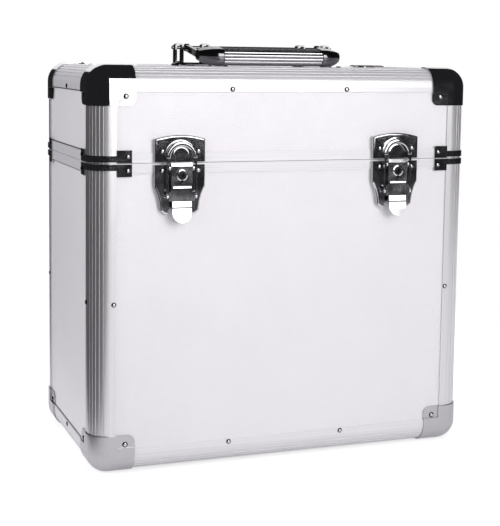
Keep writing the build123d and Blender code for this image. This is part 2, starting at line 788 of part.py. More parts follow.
    with BuildPart() as bail:
        bail_front = bail_level + bail_t
        with BuildSketch(face_plane("front", x, split, bail_level)):
            with BuildLine():
                Polyline((bail_in, bail_pivot_z), (bail_out, bail_pivot_z), (bail_out, bail_centre_z))
                Polyline((bail_out, bail_centre_z), (arch_in, bail_centre_z), (arch_in, arch_low))
                Polyline((arch_in, arch_low), (bail_in, arch_end), (bail_in, bail_pivot_z))
            make_face()
            mirror(about=Plane.YZ)
        extrude(amount=bail_t - arch_slope_h)
        with BuildSketch(arch_plane(x, bail_centre_z)):
            with BuildLine():
                Polyline((arch_in, bail_level), (bail_out, bail_level), (bail_out, bail_front - arch_slope_h))
                Line((bail_out, bail_front - arch_slope_h), (bail_out - arch_slope, bail_front))
                Line((bail_out - arch_slope, bail_front), (arch_in + arch_inner_slope, bail_front))
                Line((arch_in + arch_inner_slope, bail_front), (arch_in, bail_front - arch_slope_h))
                Line((arch_in, bail_front - arch_slope_h), (arch_in, bail_level))
            make_face()
        turn_arch(x, bail_centre_z)
        for arm_x in (x - bail_in, x + bail_out):
            with BuildSketch(latch_plane(arm_x)):
                with Locations((bail_pivot_level, bail_pivot_z)):
                    Circle(bail_eye_r)
            extrude(amount=bail_out - bail_in)
        with BuildSketch(latch_plane(x)):
            with Locations((bail_pivot_level, bail_pivot_z)):
                Circle(bail_pin_r + run_gap)
        extrude(amount=2 * bail_out, both=True, mode=Mode.SUBTRACT)
    save(bail, f"latch_bail_{side}")

    with BuildPart() as plug:
        with BuildSketch(face_plane("front", x, split + lock_z, plug_back)):
            Circle(lock_r)
        extrude(amount=lever_front + lock_ring_h - plug_back)
        with BuildSketch(face_plane("front", x, split + lock_z, plug_back)):
            with Locations((0, -cam_reach / 2)):
                Rectangle(cam_w, cam_reach)
        extrude(amount=cam_t)
        with BuildSketch(face_plane("front", x, split + lock_z, lever_front + lock_ring_h)):
            Circle(keyhole_r)
            with Locations((0, -keyway_h / 2)):
                Rectangle(keyway_w, keyway_h)
        extrude(amount=-keyway_deep, mode=Mode.SUBTRACT)
    save(plug, f"latch_lock_{side}")

with BuildPart() as lever_pins:
    for sx in sides_x.values():
        with BuildSketch(latch_plane(sx * latch_x)):
            with Locations((lever_pivot_level, lever_pivot_z)):
                Circle(pin_r)
        extrude(amount=ear_in + ear_t + pin_proud, both=True)
save(lever_pins, "latch_lever_pins")

# ---- back hinges ----
hinge_w = 44.0
hinge_pin_r = 1.3
hinge_y = half_d + hinge_out
leaf_h = 26.0
leaf_gap = 1.4
knuckle_gap = 0.25
knuckle_room = knuckle_r + 0.3
pin_head = 0.6
third = hinge_w / 6


def hinge_plane(x):
    """across the hinge at x: first axis backwards from the pin, second up from it, facing +X"""
    return Plane(origin=(x, hinge_y, split), x_dir=(0, 1, 0), z_dir=(1, 0, 0))


def leaf(x, away, spans):
    """one leaf with its knuckles; away is the side of the seam, spans are the knuckles' ends"""
    leaf_low, leaf_high = sorted((split + away * leaf_gap, split + away * leaf_h))
    block((x - hinge_w / 2, half_d, leaf_low), (x + hinge_w / 2, half_d + hinge_leaf_t, leaf_high))
    for low, high in spans:
        with BuildSketch(hinge_plane(x + low)) as knuckle:
            Circle(knuckle_r)
            with Locations((half_d + hinge_leaf_t / 2 - hinge_y, away * knuckle_r / 2)):
                Rectangle(hinge_leaf_t, knuckle_r)
            with Locations(((hinge_leaf_t + half_d - hinge_y) / 2, away * (knuckle_r - hinge_leaf_t / 2))):
                Rectangle(hinge_y - half_d - hinge_leaf_t, hinge_leaf_t)
        extrude(knuckle.sketch, amount=high - low)


def hinge_bore(radius):
    """the bore for the pin through both hinges"""
    with BuildSketch(hinge_plane(0)) as bore:
        Circle(radius)
    extrude(bore.sketch, amount=case_w / 2, both=True, mode=Mode.SUBTRACT)


outer_spans = [(-hinge_w / 2, -third - knuckle_gap), (third + knuckle_gap, hinge_w / 2)]
with BuildPart() as hinge_base_leaves:
    for sx in sides_x.values():
        x = sx * hinge_x
        leaf(x, -1, outer_spans)
        low, high = x - third - knuckle_gap, x + third + knuckle_gap
        block((low, half_d, split - knuckle_room), (high, hinge_y, split), Mode.SUBTRACT)
    hinge_bore(hinge_pin_r)
    drill(base_rivet_rows, ("back",))
save(hinge_base_leaves, "hinge_base_leaves")

with BuildPart() as hinge_lid_leaves:
    for sx in sides_x.values():
        x = sx * hinge_x
        leaf(x, 1, [(-third, third)])
        for low, high in ((-hinge_w, -third), (third, hinge_w)):
            block((x + low, half_d, split), (x + high, hinge_y, split + knuckle_room), Mode.SUBTRACT)
    hinge_bore(hinge_pin_r + run_gap)
    drill(lid_rivet_rows, ("back",))
save(hinge_lid_leaves, "hinge_lid_leaves")

with BuildPart() as hinge_pins:
    for sx in sides_x.values():
        with BuildSketch(hinge_plane(sx * hinge_x)):
            Circle(hinge_pin_r)
        extrude(amount=hinge_w / 2 + pin_head, both=True)
save(hinge_pins, "hinge_pins")

# ---- folding handle: brackets on the lid, a long rod, two arms, end caps and a ribbed grip ----
panel_top = top_z - skin
bracket_w, bracket_d, bracket_round = 35.6, 18.0, 2.6
arch_w, arch_t, arch_d, arch_h = 8.0, 1.6, 8.0, 21.6
rod_r = 1.6
rod_z = panel_top + 17.6
rod_end = 80.0
arm_x, arm_w, arm_t = 65.5, 4.0, 6.0
arm_eye_r = 3.6
arm_tuck = 4.0                  # how far an arm's end stops short of the grip's axis
grip_reach = 45.0               # the grip's axis from the rod, forwards and down
grip_drop = 7.6
grip_half = 47.6
grip_deep, grip_thick, grip_round = 24.0, 14.6, 5.4
rib_r = 1.15
rib_count = 20
core_r = 3.0
core_half = 53.0
cap_stations = [                # end caps: side distance, depth, thickness, corner, shift towards the grip
    (grip_half, 25.0, 15.6, 6.5, 0.0),
    (57.0, 24.0, 15.0, 6.3, -0.6),
    (68.5, 15.0, 8.8, 4.0, -5.0),
]
cap_end_round = 2.5
tilt = math.degrees(math.atan2(grip_drop, grip_reach))
grip_y = math.hypot(grip_reach, grip_drop)

rod_plane = Plane(origin=(0, 0, rod_z), x_dir=(0, 1, 0), z_dir=(1, 0, 0))

with BuildPart() as handle_brackets:
    with BuildSketch(Plane.XY.offset(panel_top)):
        with Locations(*[(sx * sum(arch_rows) / 2, 0) for sx in sides_x.values()]):
            RectangleRounded(bracket_w, bracket_d, 4)
    extrude(amount=bracket_base_t)
    fillet(handle_brackets.faces().filter_by(Axis.Z).group_by(Axis.Z)[-1].edges(), bracket_round)
    for sx in sides_x.values():
        for arch_x in arch_rows:
            arch_back = (sx * arch_x, arch_d / 2, panel_top)
            with BuildSketch(Plane(origin=arch_back, x_dir=(1, 0, 0), z_dir=(0, -1, 0))):
                with Locations((0, arch_h / 2)):
                    RectangleRounded(arch_w, arch_h, 3)
                with Locations((0, bracket_base_t / 2)):
                    Rectangle(arch_w, bracket_base_t)
                with Locations((0, (arch_h - arch_t + bracket_base_t) / 2)):
                    Rectangle(arch_w - 2 * arch_t, arch_h - arch_t - bracket_base_t, mode=Mode.SUBTRACT)
            extrude(amount=arch_d)
    with BuildSketch(rod_plane):
        Circle(rod_r)
    extrude(amount=rod_end, both=True, mode=Mode.SUBTRACT)
    drill(lid_rivet_rows, ("top",))
save(handle_brackets, "handle_brackets")

with BuildPart() as handle_rod:
    with BuildSketch(rod_plane):
        Circle(rod_r)
    extrude(amount=rod_end, both=True)
save(handle_rod, "handle_rod")


def handle_plane(x):
    """across the handle at x: first axis from the rod towards the grip, second square to it"""
    lean = math.radians(tilt)
    towards = Vector(0, -math.cos(lean), -math.sin(lean))
    return Plane(origin=(x, 0, rod_z), x_dir=towards, z_dir=(-1, 0, 0))


with BuildPart() as handle_arms:
    for sx in sides_x.values():
        with BuildSketch(handle_plane(sx * arm_x + arm_w / 2)):
            Circle(arm_eye_r)
            with Locations(((grip_y - arm_tuck) / 2, 0)):
                Rectangle(grip_y - arm_tuck, arm_t)
            Circle(rod_r + run_gap, mode=Mode.SUBTRACT)
        extrude(amount=arm_w)
save(handle_arms, "handle_arms")

with BuildPart() as handle_core:
    with BuildSketch(handle_plane(0)):
        with Locations((grip_y, 0)):
            Circle(core_r)
    extrude(amount=core_half, both=True)
save(handle_core, "handle_core")

with BuildPart() as handle_end_caps:
    for sx in sides_x.values():
        for x, deep, thick, corner, shift in cap_stations:
            with BuildSketch(handle_plane(sx * x)):
                with Locations((grip_y + shift, 0)):
                    RectangleRounded(deep, thick, corner)
        loft()
    ends = handle_end_caps.faces().sort_by(Axis.X)
    fillet([*ends[0].edges(), *ends[-1].edges()], cap_end_round)
    add(handle_core.part, mode=Mode.SUBTRACT)
    add(handle_arms.part, mode=Mode.SUBTRACT)
save(handle_end_caps, "handle_end_caps")

with BuildSketch() as grip_section:
    body = RectangleRounded(grip_deep - 2 * rib_r, grip_thick - 2 * rib_r, grip_round)
    around = body.face().outer_wire()
    with Locations(*[around.position_at(i / rib_count) for i in range(rib_count)]):
        Circle(rib_r)
    Circle(core_r, mode=Mode.SUBTRACT)

with BuildPart() as handle_grip:
    with BuildSketch(handle_plane(0)):
        with Locations((grip_y, 0)):
            add(grip_section.sketch)
    extrude(amount=grip_half, both=True)
save(handle_grip, "handle_grip")

make_rivets("base_rivets", base_rivet_rows)
make_rivets("lid_rivets", lid_rivet_rows)
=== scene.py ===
import json
import math

import bmesh
import bpy
from mathutils import Matrix, Vector


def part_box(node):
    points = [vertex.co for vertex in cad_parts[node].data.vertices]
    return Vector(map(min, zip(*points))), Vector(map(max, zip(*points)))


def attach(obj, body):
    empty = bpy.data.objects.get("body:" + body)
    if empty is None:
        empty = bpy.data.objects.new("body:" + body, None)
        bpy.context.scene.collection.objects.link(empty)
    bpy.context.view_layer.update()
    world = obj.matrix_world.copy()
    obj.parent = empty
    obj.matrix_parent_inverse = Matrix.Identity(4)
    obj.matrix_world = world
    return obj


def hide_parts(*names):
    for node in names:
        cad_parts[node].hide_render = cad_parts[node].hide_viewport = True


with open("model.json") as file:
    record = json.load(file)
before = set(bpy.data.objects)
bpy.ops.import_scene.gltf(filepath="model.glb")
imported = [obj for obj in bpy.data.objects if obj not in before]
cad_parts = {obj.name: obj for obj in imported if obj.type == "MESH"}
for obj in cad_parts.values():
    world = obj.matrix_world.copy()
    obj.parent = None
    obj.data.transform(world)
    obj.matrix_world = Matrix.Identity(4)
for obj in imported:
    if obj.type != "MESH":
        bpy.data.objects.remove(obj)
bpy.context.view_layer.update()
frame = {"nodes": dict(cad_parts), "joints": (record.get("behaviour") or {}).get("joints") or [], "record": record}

# ---- Studio ----
# A white table in front of a white wall. One large soft lamp stands to the right of the camera, and others
# light the case from the left, the right and overhead. Dark screens stand round the room, and only polished
# metal shows them.
camera_place = Vector((-0.4197, -1.1168, 0.3614))
camera_yaw, camera_pitch, camera_roll = 0.3577, 0.1013, 0.0136
focal_pixels, frame_height_pixels, axis_above_middle = 1259.0, 526, 80
sensor_mm = 36.0
nearest_seen = 0.05

forward = Vector((
    math.sin(camera_yaw) * math.cos(camera_pitch),
    math.cos(camera_yaw) * math.cos(camera_pitch),
    -math.sin(camera_pitch)))
right = Vector((math.cos(camera_yaw), -math.sin(camera_yaw), 0))
up = right.cross(forward)
rolled_right = right * math.cos(camera_roll) + up * math.sin(camera_roll)
rolled_up = up * math.cos(camera_roll) - right * math.sin(camera_roll)
turn = Matrix((rolled_right, rolled_up, -forward)).transposed().to_4x4()
camera = bpy.data.objects.new("camera", bpy.data.cameras.new("camera"))
bpy.context.scene.collection.objects.link(camera)
camera.matrix_world = Matrix.Translation(camera_place) @ turn
camera.data.sensor_width = sensor_mm
camera.data.lens = focal_pixels / frame_height_pixels * sensor_mm
camera.data.shift_y = -axis_above_middle / frame_height_pixels
camera.data.clip_start = nearest_seen
bpy.context.scene.camera = camera
bpy.context.scene.view_settings.view_transform = "Standard"


def join(tree, kind, *values):
    """a math node of that kind, its inputs linked or set"""
    node = tree.nodes.new("ShaderNodeMath")
    node.operation = kind
    for socket, value in zip(node.inputs, values):
        if isinstance(value, (int, float)):
            socket.default_value = value
        else:
            tree.links.new(value, socket)
    return node.outputs[0]


def seen_by_eye_and_metal(tree):
    """one for rays from the camera, from polished metal and through glass, nought for all others"""
    path = tree.nodes.new("ShaderNodeLightPath")
    eye_or_metal = join(tree, "MAXIMUM", path.outputs["Is Camera Ray"], path.outputs["Is Glossy Ray"])
    return join(tree, "MAXIMUM", eye_or_metal, path.outputs["Is Transmission Ray"])


def glow(tree, kind, colour, strength):
    """an emission or background node"""
    node = tree.nodes.new(kind)
    node.inputs["Color"].default_value = (*colour, 1)
    node.inputs["Strength"].default_value = strength
    return node.outputs[0]


def mix_shaders(tree, share, first, second):
    """the first shader where the share is nought, the second where it is one"""
    mix = tree.nodes.new("ShaderNodeMixShader")
    tree.links.new(share, mix.inputs[0])
    tree.links.new(first, mix.inputs[1])
    tree.links.new(second, mix.inputs[2])
    return mix.outputs[0]


room_colour, room_strength = (0.95, 0.94, 1.0), 0.42
world = bpy.data.worlds.new("studio")
bpy.context.scene.world = world
world.use_nodes = True
tree = world.node_tree
tree.nodes.clear()
room_light = glow(tree, "ShaderNodeBackground", room_colour, room_strength)
white_wall = glow(tree, "ShaderNodeBackground", (1, 1, 1), 1.0)
world_out = tree.nodes.new("ShaderNodeOutputWorld")
seen = mix_shaders(tree, seen_by_eye_and_metal(tree), room_light, white_wall)
tree.links.new(seen, world_out.inputs[0])

# the table turns to pure white away from the case, so that no edge or horizon shows
table_reach = 6.0
shadow_reach, white_reach = 0.33, 0.75
table_colour, table_lift, lift_in_metal = (0.6, 0.6, 0.61), 0.62, 0.3
corners = [(-table_reach, -table_reach, 0), (table_reach, -table_reach, 0)]
corners += [(table_reach, table_reach, 0), (-table_reach, table_reach, 0)]
table_mesh = bpy.data.meshes.new("table")
table_mesh.from_pydata(corners, [], [(0, 1, 2, 3)])
table = bpy.data.objects.new("table", table_mesh)
bpy.context.scene.collection.objects.link(table)
table_white = bpy.data.materials.new("table_white")
table_white.use_nodes = True
tree = table_white.node_tree
tree.nodes.clear()
matt = tree.nodes.new("ShaderNodeBsdfDiffuse")
matt.inputs["Color"].default_value = (*table_colour, 1)
path = tree.nodes.new("ShaderNodeLightPath")
lifts = [glow(tree, "ShaderNodeEmission", (1, 1, 1), strength) for strength in (lift_in_metal, table_lift)]
lifted = tree.nodes.new("ShaderNodeAddShader")
tree.links.new(matt.outputs[0], lifted.inputs[0])
tree.links.new(mix_shaders(tree, path.outputs["Is Camera Ray"], *lifts), lifted.inputs[1])
place = tree.nodes.new("ShaderNodeTexCoord")
distance = tree.nodes.new("ShaderNodeVectorMath")
distance.operation = "LENGTH"
tree.links.new(place.outputs["Object"], distance.inputs[0])
fade = tree.nodes.new("ShaderNodeMapRange")
fade.interpolation_type = "SMOOTHSTEP"
fade.inputs["From Min"].default_value = shadow_reach
fade.inputs["From Max"].default_value = white_reach
tree.links.new(distance.outputs["Value"], fade.inputs["Value"])
pure_white = glow(tree, "ShaderNodeEmission", (1, 1, 1), 1.0)
shown = mix_shaders(tree, fade.outputs["Result"], lifted.outputs[0], pure_white)
table_out = tree.nodes.new("ShaderNodeOutputMaterial")
tree.links.new(mix_shaders(tree, seen_by_eye_and_metal(tree), matt.outputs[0], shown), table_out.inputs[0])
table_mesh.materials.append(table_white)

lamp_rows = (           # name, place, what it faces, width and height, watts, shown in polished metal
    ("front_lamp", (0.37, -1.5, 0.845), (0.37, 0, 0.845), (0.94, 1.18), 14.8, True),
    ("left_lamp", (-1.7, -0.3, 1.15), (0, 0, 0.22), (1.2, 1.2), 21.0, False),
    ("top_lamp", (-0.1, -0.1, 1.9), (0, 0, 0.18), (1.6, 1.2), 9.0, False),
    ("right_lamp", (1.8, 0.2, 0.7), (0, 0, 0.18), (0.8, 1.2), 5.0, False),
)
for name, at, target, size, watts, shown_in_metal in lamp_rows:
    lamp = bpy.data.lights.new(name, "AREA")
    lamp.shape = "RECTANGLE"
    lamp.size, lamp.size_y = size
    lamp.energy = watts
    holder = bpy.data.objects.new(name, lamp)
    holder.location = at
    holder.rotation_mode = "QUATERNION"
    holder.rotation_quaternion = (Vector(target) - Vector(at)).to_track_quat("-Z", "Y")
    holder.visible_glossy = shown_in_metal
    bpy.context.scene.collection.objects.link(holder)

# the dark screens: in front, on both sides, behind at the left, overhead, and on the floor at the left
screen_colour, screen_strength = (1, 1, 1.1), 0.02
screen_black = bpy.data.materials.new("screen_black")
screen_black.use_nodes = True
tree = screen_black.node_tree
tree.nodes.clear()
screen_out = tree.nodes.new("ShaderNodeOutputMaterial")
tree.links.new(glow(tree, "ShaderNodeEmission", screen_colour, screen_strength), screen_out.inputs[0])
screen_rows = (         # name and two opposite corners
    ("screen_front", (-1.9, -1.7, 0.0), (1.9, -1.7, 2.4)),
    ("screen_left", (-1.3, -1.7, 0.0), (-1.3, 4.6, 2.4)),
    ("screen_back_left", (-1.3, 2.8, 0.0), (-0.35, 2.8, 2.4)),
    ("screen_right", (1.9, -1.7, 0.0), (1.9, 2.0, 2.4)),
    ("screen_top", (-1.9, -1.7, 2.4), (1.9, 3.4, 2.4)),
    ("screen_low_left", (-1.3, -1.4, 0.002), (-0.26, 2.8, 0.002)),
)
for name, low, high in screen_rows:
    flat = [axis for axis in range(3) if low[axis] == high[axis]][0]
    first, second = [axis for axis in range(3) if axis != flat]
    corners = []
    for one, other in ((low, low), (high, low), (high, high), (low, high)):
        corner = list(low)
        corner[first], corner[second] = one[first], other[second]
        corners.append(corner)
    screen_mesh = bpy.data.meshes.new(name)
    screen_mesh.from_pydata(corners, [], [(0, 1, 2, 3)])
    screen_mesh.materials.append(screen_black)
    screen = bpy.data.objects.new(name, screen_mesh)
    screen.visible_camera = False
    screen.visible_diffuse = False
    screen.visible_shadow = False
    screen.visible_transmission = False
    bpy.context.scene.collection.objects.link(screen)

# ---- Panels ----
# Ten boards of thin plywood, faced with silver sheet that is rolled with a fine diamond relief.
# They stand in the slots of the frame and show only between its bars.
nodes = frame["nodes"]
slots = {row["node"]: row["material_slot"] for row in frame["record"]["subparts"]}
sheet_dim, sheet_bright = (0.78, 0.755, 0.785), (0.82, 0.80, 0.825)
sheet_roughness, sheet_wear = 0.38, 0.04
cloud_waves, wear_waves = (5, 5, 5), (60, 60, 60)
diamond_period, diamond_depth = 0.0026, 0.0001
# painted shade along the panels' joints with the frame: its colour, the distance where it is full, and where it
# has faded out
joint_shade_colour, joint_shade_solid, joint_shade_reach = (0.02, 0.02, 0.022), 0.00064, 0.0016
joint_levels = [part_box("bottom_rail_left")[1].z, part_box("base_rim")[0].z]
joint_levels += [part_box("lid_rim")[1].z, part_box("top_side_rails")[0].z]
noise_middle = (0.3, 0.7)


def new_material(name, colour, metallic, roughness):
    """a plain material, its node tree and its surface"""
    material = bpy.data.materials.new(name)
    material.use_nodes = True
    surface = material.node_tree.nodes["Principled BSDF"]
    surface.inputs["Base Color"].default_value = (*colour, 1)
    surface.inputs["Metallic"].default_value = metallic
    surface.inputs["Roughness"].default_value = roughness
    return material, material.node_tree, surface


def object_noise(tree, waves, detail=2.0):
    """a noise in the piece's own place, with that many waves to the metre along each axis"""
    where = tree.nodes.new("ShaderNodeTexCoord")
    stretch = tree.nodes.new("ShaderNodeMapping")
    stretch.inputs["Scale"].default_value = waves
    noise = tree.nodes.new("ShaderNodeTexNoise")
    noise.inputs["Scale"].default_value = 1.0
    noise.inputs["Detail"].default_value = detail
    tree.links.new(where.outputs["Object"], stretch.inputs["Vector"])
    tree.links.new(stretch.outputs["Vector"], noise.inputs["Vector"])
    return noise.outputs["Fac"]


def spread(tree, value, low, high):
    """the middle range of a noise turned into values from low to high"""
    node = tree.nodes.new("ShaderNodeMapRange")
    node.inputs["From Min"].default_value, node.inputs["From Max"].default_value = noise_middle
    node.inputs["To Min"].default_value = low
    node.inputs["To Max"].default_value = high
    tree.links.new(value, node.inputs["Value"])
    return node.outputs["Result"]


def two_colours(tree, surface, value, first, second):
    """the surface's colour, blended from first to second by value: each is a colour or a node's output"""
    mix = tree.nodes.new("ShaderNodeMix")
    mix.data_type = "RGBA"
    factor, *ends = (socket for socket in mix.inputs if socket.enabled)
    tree.links.new(value, factor)
    for end, colour in zip(ends, (first, second)):
        if isinstance(colour, tuple):
            end.default_value = (*colour, 1)
        else:
            tree.links.new(colour, end)
    result = next(socket for socket in mix.outputs if socket.enabled)
    tree.links.new(result, surface.inputs["Base Color"])


def relief(tree, surface, height, depth):
    """raises the surface by height times depth"""
    bump = tree.nodes.new("ShaderNodeBump")
    bump.inputs["Strength"].default_value = 1.0
    bump.inputs["Distance"].default_value = depth
    tree.links.new(height, bump.inputs["Height"])
    tree.links.new(bump.outputs["Normal"], surface.inputs["Normal"])


def paint_joint_shade(tree, surface, levels):
    """painted shade along the joints with the frame, at those heights: a dark band standing in for the shadow of
    the gap where the panel meets the rail
    """
    plain = surface.inputs["Base Color"].links[0].from_socket
    where = tree.nodes.new("ShaderNodeTexCoord")
    split = tree.nodes.new("ShaderNodeSeparateXYZ")
    tree.links.new(where.outputs["Object"], split.inputs[0])
    nearest = 1.0
    for level in levels:
        away = join(tree, "ABSOLUTE", join(tree, "SUBTRACT", split.outputs[2], level))
        nearest = join(tree, "MINIMUM", nearest, away)
    unshaded = tree.nodes.new("ShaderNodeMapRange")
    unshaded.inputs["From Min"].default_value = joint_shade_solid
    unshaded.inputs["From Max"].default_value = joint_shade_reach
    tree.links.new(nearest, unshaded.inputs["Value"])
    two_colours(tree, surface, unshaded.outputs["Result"], joint_shade_colour, plain)


def silver_sheet(name, first, second, metallic):
    """the embossed sheet, its diamonds standing on their tips in the plane of two axes"""
    material, tree, surface = new_material(name, sheet_bright, metallic, sheet_roughness)
    cloudy = spread(tree, object_noise(tree, cloud_waves, 3.0), 0, 1)
    two_colours(tree, surface, cloudy, sheet_dim, sheet_bright)
    where = tree.nodes.new("ShaderNodeTexCoord")
    split = tree.nodes.new("ShaderNodeSeparateXYZ")
    tree.links.new(where.outputs["Object"], split.inputs[0])
    waves = [
        join(tree, "COSINE", join(tree, "MULTIPLY", split.outputs[axis], 2 * math.pi / diamond_period))
        for axis in (first, second)]
    relief(tree, surface, join(tree, "MULTIPLY", *waves), diamond_depth)
    wear = object_noise(tree, wear_waves, 4.0)
    worn = spread(tree, wear, sheet_roughness - sheet_wear, sheet_roughness + sheet_wear)
    tree.links.new(worn, surface.inputs["Roughness"])
    return material


def coat(node, material):
    """gives a node's own mesh its material"""
    nodes[node].data.materials.clear()
    nodes[node].data.materials.append(material)


sheets = {              # by the last word of the panels' names
    "front": silver_sheet("silver_sheet_front", 0, 2, 0.35),
    "left": silver_sheet("silver_sheet_side", 1, 2, 0.15),
    "panel": silver_sheet("silver_sheet_level", 0, 1, 0.35),
}
sheets["back"], sheets["right"] = sheets["front"], sheets["left"]
side_tree = sheets["left"].node_tree
# the side sheets get painted shade along their joints with the rails and rims
paint_joint_shade(side_tree, side_tree.nodes["Principled BSDF"], joint_levels)
for node in slots:
    if slots[node] == "panel_sheet":
        coat(node, sheets[node.split("_")[-1]])

# ---- Frame bars and closing rims ----
# Drawn aluminium, sawn to length and anodised satin: bars with five flutes on their round edge, and the
# plain rims that close both shells. The drawing and brushing leave fine streaks along each length.
aluminium_light, aluminium_dark = (0.80, 0.785, 0.805), (0.70, 0.685, 0.71)
waves_along, waves_across = 4.0, 1500.0
streak_gloss, streak_depth = 0.045, 0.000005


def brushed_aluminium(name, direction, metallic, roughness):
    """satin aluminium with its streaks along one axis"""
    material, tree, surface = new_material(name, aluminium_light, metallic, roughness)
    waves = [waves_across] * 3
    waves[direction] = waves_along
    streaks = object_noise(tree, waves, 3.0)
    two_colours(tree, surface, spread(tree, streaks, 0, 1), aluminium_dark, aluminium_light)
    glossy = spread(tree, streaks, roughness + streak_gloss, roughness - streak_gloss)
    tree.links.new(glossy, surface.inputs["Roughness"])
    relief(tree, surface, streaks, streak_depth)
    return material


bar_rows = (            # kind, the streaks' direction, how bare the metal is, its roughness, and the bars
    ("top", "x", 0.55, 0.36, ("top_long_rails",)),
    ("bottom", "x", 0.15, 0.38, ("bottom_rail_front", "bottom_rail_back")),
    ("rim", "x", 0.3, 0.38, ("base_rim", "lid_rim")),
    ("side", "y", 0.35, 0.38, ("bottom_rail_left", "bottom_rail_right", "top_side_rails")),
    ("post", "z", 0.9, 0.36, ("lid_posts", *(node for node in slots if node.startswith("base_post")))),
)
for kind, axis, metallic, roughness, bars in bar_rows:
    aluminium = brushed_aluminium(f"aluminium_{kind}", "xyz".index(axis), metallic, roughness)
    for node in bars:
        coat(node, aluminium)

# ---- Linings ----
# Sheets of thin dark foam, cut with a knife and glued inside each shell: the floor or roof first,
# then the long walls, then the short walls between them, so that the joints show as fine seams.
foam_thick, foam_gap, foam_edge = 0.002, 0.00025, 0.0007
foam_black, foam_grey = (0.022, 0.022, 0.025), (0.055, 0.055, 0.06)
foam_roughness, foam_sheen = 0.95, 0.25
pore_waves, pore_depth = (900, 900, 900), 0.0003
foam, tree, surface = new_material("foam_dark", foam_grey, 0.0, foam_roughness)
surface.inputs["Sheen Weight"].default_value = foam_sheen
pores = object_noise(tree, pore_waves, 3.0)
two_colours(tree, surface, spread(tree, pores, 0, 1), foam_black, foam_grey)
relief(tree, surface, pores, pore_depth)


def smooth(mesh):
    """smooth shading all over, which the rounded edges then need no breaks in"""
    mesh.polygons.foreach_set("use_smooth", [True] * len(mesh.polygons))
    return mesh


def baked(piece):
    """the piece's mesh with its modifiers applied, under the same name"""
    bpy.context.view_layer.update()
    whole = piece.evaluated_get(bpy.context.evaluated_depsgraph_get())
    mesh = bpy.data.meshes.new_from_object(whole)
    mesh.name = piece.name
    piece.modifiers.clear()
    piece.data = mesh
    return mesh


def round_edges(piece, width, segments=2, above=28):
    """rounds the sharp edges, evens out the shading and bakes the result"""
    bevel = piece.modifiers.new("rounded_edges", "BEVEL")
    bevel.width = width
    bevel.segments = segments
    bevel.limit_method = "ANGLE"
    bevel.angle_limit = math.radians(above)
    piece.modifiers.new("even_shading", "WEIGHTED_NORMAL")
    return baked(piece)


def new_piece(name, mesh, material, body, replaced=()):
    """an object that rides on a body and stands for some nodes of the frame"""
    mesh.name = name
    mesh.materials.clear()
    mesh.materials.append(material)
    piece = bpy.data.objects.new(name, mesh)
    bpy.context.scene.collection.objects.link(piece)
    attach(piece, body)
    if replaced:
        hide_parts(*replaced)
    return piece


def add_slab(shape, low, high):
    """a box from low to high, added to a bmesh"""
    made = bmesh.ops.create_cube(shape, size=1)
    low, high = Vector(low), Vector(high)
    place = Matrix.LocRotScale((low + high) / 2, None, high - low)
    bmesh.ops.transform(shape, matrix=place, verts=made["verts"])


for shell, floor_below in (("base", True), ("lid", False)):
    low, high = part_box(f"{shell}_lining")
    sheet_low, sheet_high = Vector(low), Vector(high)
    wall_low, wall_high = Vector(low), Vector(high)
    if floor_below:
        sheet_high.z = low.z + foam_thick
        wall_low.z = sheet_high.z + foam_gap
    else:
        sheet_low.z = high.z - foam_thick
        wall_high.z = sheet_low.z - foam_gap
    shape = bmesh.new()
    add_slab(shape, sheet_low, sheet_high)
    for y_low, y_high in ((low.y, low.y + foam_thick), (high.y - foam_thick, high.y)):
        add_slab(shape, (wall_low.x, y_low, wall_low.z), (wall_high.x, y_high, wall_high.z))
    for x_low, x_high in ((low.x, low.x + foam_thick), (high.x - foam_thick, high.x)):
        y_low, y_high = low.y + foam_thick + foam_gap, high.y - foam_thick - foam_gap
        add_slab(shape, (x_low, y_low, wall_low.z), (x_high, y_high, wall_high.z))
    lining_mesh = bpy.data.meshes.new("lining")
    shape.to_mesh(lining_mesh)
    shape.free()
    lining = new_piece(f"foam_{shell}", lining_mesh, foam, shell, [f"{shell}_lining"])
    smooth(lining.data)
    round_edges(lining, foam_edge, 3)

# ---- Pressed corners ----
# Ball corners stamped from thin sheet, one over each corner of the frame: chromed on the lid, satin below.
# Their borders step down from the frame to the panels, where a rivet goes through each side.
weld_distance, flat_degrees = 0.000002, 0.4
smudge_waves, dust_waves, dent_waves = (90, 90, 90), (400, 400, 400), (30, 30, 30)


def softened(node, edge, segments=2, above=28):
    """a welded copy of a node's mesh, its sharp edges rounded"""
    mesh = nodes[node].data.copy()
    if "custom_normal" in mesh.attributes:
        mesh.attributes.remove(mesh.attributes["custom_normal"])
    shape = bmesh.new()
    shape.from_mesh(mesh)
    bmesh.ops.remove_doubles(shape, verts=shape.verts, dist=weld_distance)
    bmesh.ops.dissolve_limit(
        shape, angle_limit=math.radians(flat_degrees), verts=shape.verts, edges=shape.edges)
    shape.to_mesh(mesh)
    shape.free()
    if "sharp_edge" in mesh.attributes:
        mesh.attributes.remove(mesh.attributes["sharp_edge"])
    carrier = bpy.data.objects.new("carrier", smooth(mesh))
    bpy.context.scene.collection.objects.link(carrier)
    finished = round_edges(carrier, edge, segments, above)
    bpy.data.objects.remove(carrier)
    return finished


def dressed(made, node, body, material, edge, segments=2, above=28):
    """a softened copy in the place of a node, named for the way it is made"""
    mesh = softened(node, edge, segments, above)
    new_piece(f"{made}_{node}", mesh, material, body, [node])


def polished(name, colour, roughness, smudge, dent, dusty=0.86, metallic=1.0):
    """bright metal: smudges add to its roughness, dust dims it, and its surface is dented by a hair"""
    material, tree, surface = new_material(name, colour, metallic, roughness)
    smudges = object_noise(tree, smudge_waves, 4.0)
    tree.links.new(spread(tree, smudges, roughness, roughness + smudge), surface.inputs["Roughness"])
    dust = object_noise(tree, dust_waves)
    dimmed = tuple(dusty * value for value in colour)
    two_colours(tree, surface, spread(tree, dust, 0, 1), dimmed, colour)
    relief(tree, surface, object_noise(tree, dent_waves, 1.0), dent)
    return material


